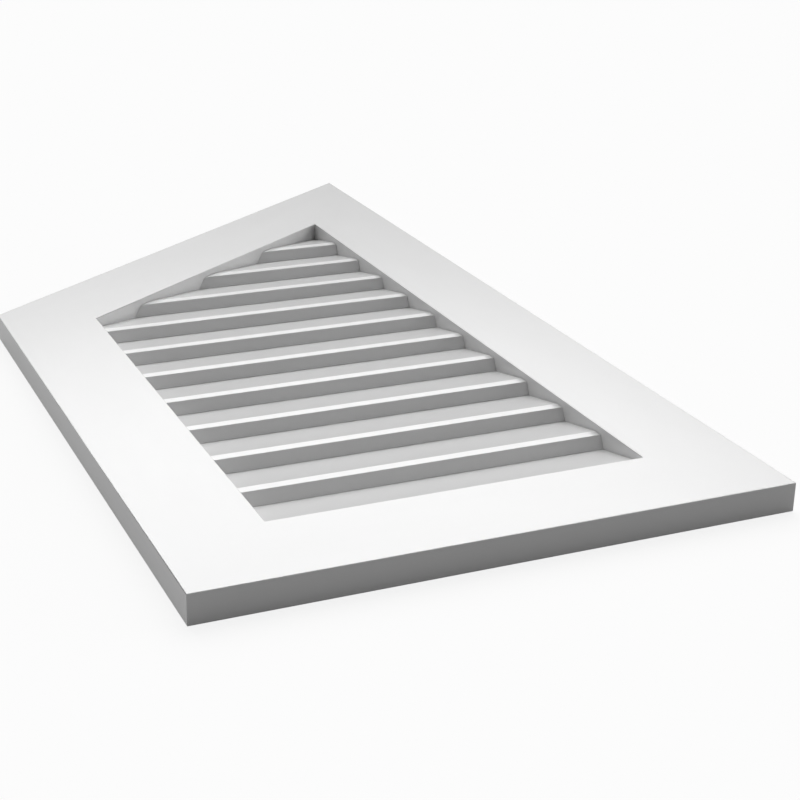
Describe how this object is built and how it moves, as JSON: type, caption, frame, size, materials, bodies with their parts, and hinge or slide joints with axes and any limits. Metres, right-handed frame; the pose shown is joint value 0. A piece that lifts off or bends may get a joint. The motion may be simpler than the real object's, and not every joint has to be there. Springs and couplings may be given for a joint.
{
  "type": "gable vent",
  "caption": "Half-peaked surface-mount gable vent: a flat trim frame with a sloping top, filled with lapped louvre slats that shed rain and let no air through.",
  "frame": {"origin": "middle of the bounding rectangle of the frame's back face, which lies on the wall", "axes": "+X across the vent to the long stile, +Y up the wall to the peak, +Z out of the wall"},
  "size_m": [0.508, 1.016, 0.0254],
  "materials": {
    "trim_board": "white cellular PVC trim board, smooth satin face and sawn edges",
    "slat": "white cellular PVC, milled along its length, satin",
    "biscuit": "pressed beech, glued in its slots",
    "screw": "zinc plated steel"
  },
  "bodies": {
    "root": {"frame_bottom_rail": "trim_board", "frame_long_stile": "trim_board", "frame_sloping_rail": "trim_board", "frame_short_stile": "trim_board", "louvre_slat_01": "slat", "louvre_slat_02": "slat", "louvre_slat_03": "slat", "louvre_slat_04": "slat", "louvre_slat_05": "slat", "louvre_slat_06": "slat", "louvre_slat_07": "slat", "louvre_slat_08": "slat", "louvre_slat_09": "slat", "louvre_slat_10": "slat", "louvre_slat_11": "slat", "biscuit_bottom_left": "biscuit", "biscuit_bottom_right": "biscuit", "biscuit_peak": "biscuit", "biscuit_eave": "biscuit", "slat_screws": "screw"}
  },
  "joints": []
}
